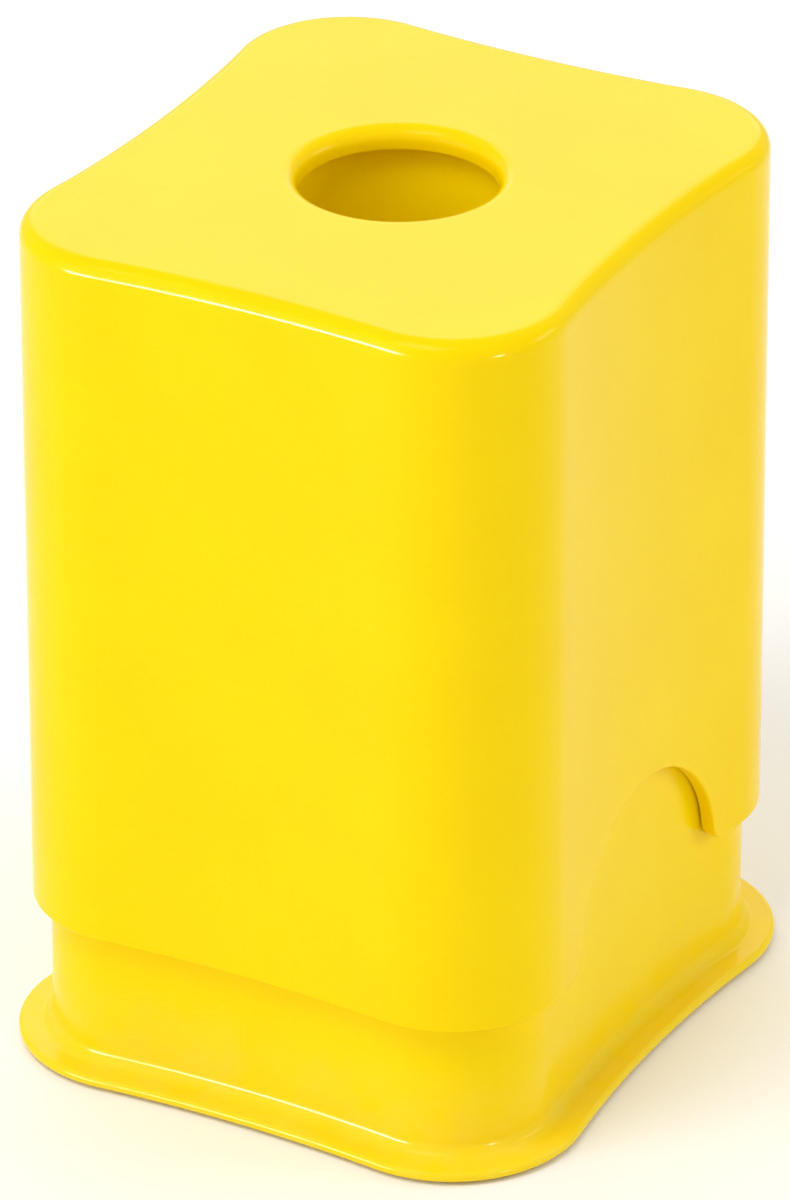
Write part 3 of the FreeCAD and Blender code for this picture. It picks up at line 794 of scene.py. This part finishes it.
def relief(tree, shader, height, depth, strength=1.0):
    """Let a pattern dent the surface by a depth in metres."""
    bump = tree.nodes.new("ShaderNodeBump")
    bump.inputs["Distance"].default_value = depth
    bump.inputs["Strength"].default_value = strength
    tree.links.new(height, bump.inputs["Height"])
    tree.links.new(bump.outputs["Normal"], shader.inputs["Normal"])


def height_band(tree, low, high):
    """0 below a height and 1 above another, so that a finish can change towards the ground."""
    place = tree.nodes.new("ShaderNodeTexCoord")
    parts = tree.nodes.new("ShaderNodeSeparateXYZ")
    tree.links.new(place.outputs["Object"], parts.inputs["Vector"])
    return spread(tree, parts.outputs["Z"], 0, 1, low, high)


def times(tree, first, second):
    product = tree.nodes.new("ShaderNodeMath")
    product.operation = "MULTIPLY"
    tree.links.new(first, product.inputs[0])
    tree.links.new(second, product.inputs[1])
    return product.outputs["Value"]

# %% Yellow moulded plastic
FLOW_PATCH = 38 * MM                      # sizes of the patterns in the plastic
SPECK = 1.6 * MM
DRAW_LINE = 2.2 * MM                      # across the line: along Z it is fifty times as long
DRAWN_OUT = (1, 1, 0.02)
# Painted sheen: a pale film towards the ground that stands in for the pale reflection along the
# flange's top.
PAINTED_SHEEN_PATCH = 9 * MM
PAINTED_SHEEN_LOW, PAINTED_SHEEN_HIGH = 3 * MM, 30 * MM     # the painted sheen fades out between these heights
PAINTED_SHEEN_COLOUR = (0.80, 0.74, 0.42)
GLOSS_PATCH = 14 * MM
PEEL = 1.3 * MM
PEEL_DEPTH = 0.02 * MM
REFLECTION = 0.11                         # how strongly the plastic mirrors, seen straight on
REFLECTION_TINT = (1, 0.95, 0.70, 1)


def yellow_plastic(name, deep, bright, gloss, painted_ground_sheen=0.0):
    material, tree, shader = start_finish(name)
    flow = spread(tree, noise(tree, FLOW_PATCH, detail=4), 0, 1)
    drift = two_tone(tree, flow, deep, bright)
    speck = spread(tree, noise(tree, SPECK, detail=2), 0, 0.22, start=0.35, end=0.75)
    colour = two_tone(tree, speck, drift, bright)
    lines = noise(tree, DRAW_LINE, detail=2, stretch=DRAWN_OUT)
    draw_lines = spread(tree, lines, 0, 0.25, start=0.45, end=0.8)
    colour = two_tone(tree, draw_lines, colour, deep)
    # Painted sheen: a pale film, strongest at the ground and fading out upwards.
    if painted_ground_sheen:
        band = height_band(tree, PAINTED_SHEEN_LOW, PAINTED_SHEEN_HIGH)
        near_ground = spread(tree, band, painted_ground_sheen, 0, start=0, end=1)
        painted_sheen_mask = times(tree, near_ground, spread(tree, noise(tree, PAINTED_SHEEN_PATCH, detail=5), 0.2, 1))
        colour = two_tone(tree, painted_sheen_mask, colour, PAINTED_SHEEN_COLOUR)
    tree.links.new(colour, shader.inputs["Base Color"])
    roughness = spread(tree, noise(tree, GLOSS_PATCH, detail=5), gloss - 0.03, gloss + 0.04)
    tree.links.new(roughness, shader.inputs["Roughness"])
    relief(tree, shader, noise(tree, PEEL, detail=2), PEEL_DEPTH, strength=0.8)
    shader.inputs["Specular IOR Level"].default_value = REFLECTION
    shader.inputs["Specular Tint"].default_value = REFLECTION_TINT
    return material


HOOD_YELLOW = yellow_plastic(
    "yellow_hood", deep=(0.98, 0.675, 0.0), bright=(1.0, 0.71, 0.0), gloss=0.16)
# The cup's yellow is a touch paler than the hood's: painted light that makes up for the light its
# lower part loses under the hood and near the floor.
CUP_YELLOW_PAINTED_LIGHT = yellow_plastic(
    "yellow_cup_painted_light", deep=(0.98, 0.69, 0.0), bright=(1.0, 0.725, 0.0), gloss=0.18, painted_ground_sheen=0.10)
# The liner's yellow is paler still: painted light that brightens the shaded cavity under the hood's
# hole.
LINER_YELLOW_PAINTED_LIGHT = yellow_plastic(
    "yellow_liner_painted_light", deep=(1.0, 0.72, 0.0), bright=(1.0, 0.78, 0.0), gloss=0.34)

# %% Black plastic, rubber, concrete and zinc
def dark_finish(name, dark, pale, rough, grain, depth):
    material, tree, shader = start_finish(name)
    colour = two_tone(tree, spread(tree, noise(tree, 12 * MM, detail=4), 0, 1), dark, pale)
    tree.links.new(colour, shader.inputs["Base Color"])
    roughness = spread(tree, noise(tree, 5 * MM, detail=3), rough - 0.08, rough + 0.08)
    tree.links.new(roughness, shader.inputs["Roughness"])
    relief(tree, shader, noise(tree, grain, detail=3), depth)
    return material


BLACK_PLASTIC = dark_finish(
    "matte_black", dark=(0.012, 0.012, 0.012), pale=(0.022, 0.021, 0.020),
    rough=0.55, grain=0.8 * MM, depth=0.04 * MM)
RUBBER = dark_finish(
    "black_rubber", dark=(0.016, 0.016, 0.015), pale=(0.034, 0.033, 0.031),
    rough=0.8, grain=1.4 * MM, depth=0.06 * MM)


def concrete_finish():
    material, tree, shader = start_finish("cast_concrete")
    cloud = spread(tree, noise(tree, 30 * MM, detail=6), 0, 1)
    body = two_tone(tree, cloud, (0.24, 0.23, 0.21), (0.34, 0.33, 0.30))
    grit = spread(tree, noise(tree, 2.5 * MM, detail=4), 0, 0.8, start=0.55, end=0.7)
    tree.links.new(two_tone(tree, grit, body, (0.14, 0.13, 0.12)), shader.inputs["Base Color"])
    relief(tree, shader, noise(tree, 3 * MM, detail=6), 0.5 * MM)
    shader.inputs["Roughness"].default_value = 0.92
    return material


def zinc_finish():
    material, tree, shader = start_finish("zinc_plate")
    shader.inputs["Metallic"].default_value = 1
    spangle = spread(tree, noise(tree, 2 * MM, detail=4), 0, 1)
    colour = two_tone(tree, spangle, (0.52, 0.53, 0.55), (0.68, 0.68, 0.66))
    tree.links.new(colour, shader.inputs["Base Color"])
    roughness = spread(tree, noise(tree, 1 * MM, detail=4), 0.25, 0.45)
    tree.links.new(roughness, shader.inputs["Roughness"])
    relief(tree, shader, noise(tree, 0.5 * MM, detail=3), 0.01 * MM)
    return material


CONCRETE = concrete_finish()
ZINC = zinc_finish()

# %% Give every piece its finish
def wear(piece, material):
    piece.data.materials.clear()
    piece.data.materials.append(material)


wear(hood, HOOD_YELLOW)
wear(shell, CUP_YELLOW_PAINTED_LIGHT)
wear(tube, LINER_YELLOW_PAINTED_LIGHT)
wear(plug, BLACK_PLASTIC)
for foot in feet:
    wear(foot, RUBBER)
for node_name, material in (
    ("base_plate", BLACK_PLASTIC),
    ("ballast_block", CONCRETE),
    ("base_plate_screws", ZINC),
):
    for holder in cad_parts[node_name].material_slots:
        holder.material = material

# %% [markdown]
# ## Floor, light and camera
#
# A small glossy object looks its best among big soft lights: each one shows as a broad pale patch
# in the plastic. One box stands at the front left, one at the right, one behind, and one hangs high
# in front. Between the first two the room stays a little darker, which gives the front corner its
# deeper band. Two low strips are seen only as reflections: they draw the bright lines along the
# hood's top edge.

# %% Floor
FLOOR_SIZE = 12                           # metres
FLOOR_TONE = 0.98

deselect()
bpy.ops.mesh.primitive_plane_add(size=FLOOR_SIZE, location=(0, 0, 0))
floor = bpy.context.object
floor.name = "floor"
floor_material, _, floor_shader = start_finish("pale_floor")
floor_shader.inputs["Base Color"].default_value = (FLOOR_TONE, FLOOR_TONE, FLOOR_TONE, 1)
floor_shader.inputs["Roughness"].default_value = 0.9
floor_shader.inputs["Specular IOR Level"].default_value = 0.0
wear(floor, floor_material)
floor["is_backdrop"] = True

# %% Lights
def direction(azimuth, elevation):
    """The way out from the object at two angles in radians. Azimuth 0 is straight in front of it
    and a quarter turn is on its right."""
    return Vector((
        math.sin(azimuth) * math.cos(elevation),
        -math.cos(azimuth) * math.cos(elevation),
        math.sin(elevation),
    ))


def soft_box(name, azimuth, elevation, distance, wide, tall, power):
    """A soft light that looks at the middle of the object. Angles are in degrees here."""
    back = direction(math.radians(azimuth), math.radians(elevation))
    deselect()
    bpy.ops.object.light_add(type="AREA", location=Vector((0, 0, TOP / 2)) + back * distance)
    light = bpy.context.object
    light.name = name
    light.data.shape = "RECTANGLE"
    light.data.size = wide
    light.data.size_y = tall
    light.data.energy = power
    light.rotation_mode = "QUATERNION"
    light.rotation_quaternion = back.to_track_quat("Z", "Y")
    return light


# Each row: name, azimuth, elevation, distance, width and height in metres, power in watts.
BOXES = (
    ("front_left_box", -34, 22, 1.5, 0.9, 0.8, 4.5),
    ("right_box", 120, 20, 1.5, 0.6, 0.4, 4),
    ("high_front_box", -12, 60, 1.6, 0.8, 0.6, 8.5),
    ("back_box", 209, 30, 1.7, 1.5, 1.0, 7.5),
)
STRIPS = (
    ("long_strip", -29, 2, 1.5, 0.60, 0.11, 52),
    ("short_strip", 69, 2, 1.5, 0.12, 0.10, 8),
)
for box in BOXES:
    soft_box(*box)
for strip in STRIPS:
    soft_box(*strip).visible_diffuse = False

ROOM_LIGHT = 0.61
world = bpy.data.worlds.new("pale_room")
world.use_nodes = True
background = world.node_tree.nodes["Background"]
background.inputs["Color"].default_value = (1, 1, 1, 1)
background.inputs["Strength"].default_value = ROOM_LIGHT
bpy.context.scene.world = world
bpy.context.scene.view_settings.view_transform = "Standard"

# %% Camera: three quarters from the front right, looking down a little
AZIMUTH = math.radians(29.048)
ELEVATION = math.radians(28.413)
ROLL = math.radians(-0.122)
DISTANCE = 2.1961
LENS = 253.9                              # and the sensor's width, in millimetres
SENSOR = 36
SHIFT_LEFT = 1.16 * MM                    # how far the camera stands off the straight view
SHIFT_DOWN = 4.22 * MM
LOOK_AT = Vector((0, 0, TOP / 2 + 0.5 * MM))

back = direction(AZIMUTH, ELEVATION)
level_right = Vector((math.cos(AZIMUTH), math.sin(AZIMUTH), 0))
level_up = back.cross(level_right)
place = LOOK_AT + back * DISTANCE - level_right * SHIFT_LEFT - level_up * SHIFT_DOWN
right = level_right * math.cos(ROLL) + level_up * math.sin(ROLL)
up = level_up * math.cos(ROLL) - level_right * math.sin(ROLL)
deselect()
bpy.ops.object.camera_add(location=place)
camera = bpy.context.object
camera.name = "camera"
camera.rotation_mode = "QUATERNION"
camera.rotation_quaternion = Matrix((right, up, back)).transposed().to_quaternion()
camera.data.lens = LENS
camera.data.sensor_width = SENSOR
camera.data.clip_end = 100
bpy.context.scene.camera = camera
print("camera at", [round(value, 3) for value in place])

# %% Print the size of what is shown, and finish
bpy.context.view_layer.update()
low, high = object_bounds()
print("shown box", [round(value / MM, 2) for value in low], [round(value / MM, 2) for value in high])
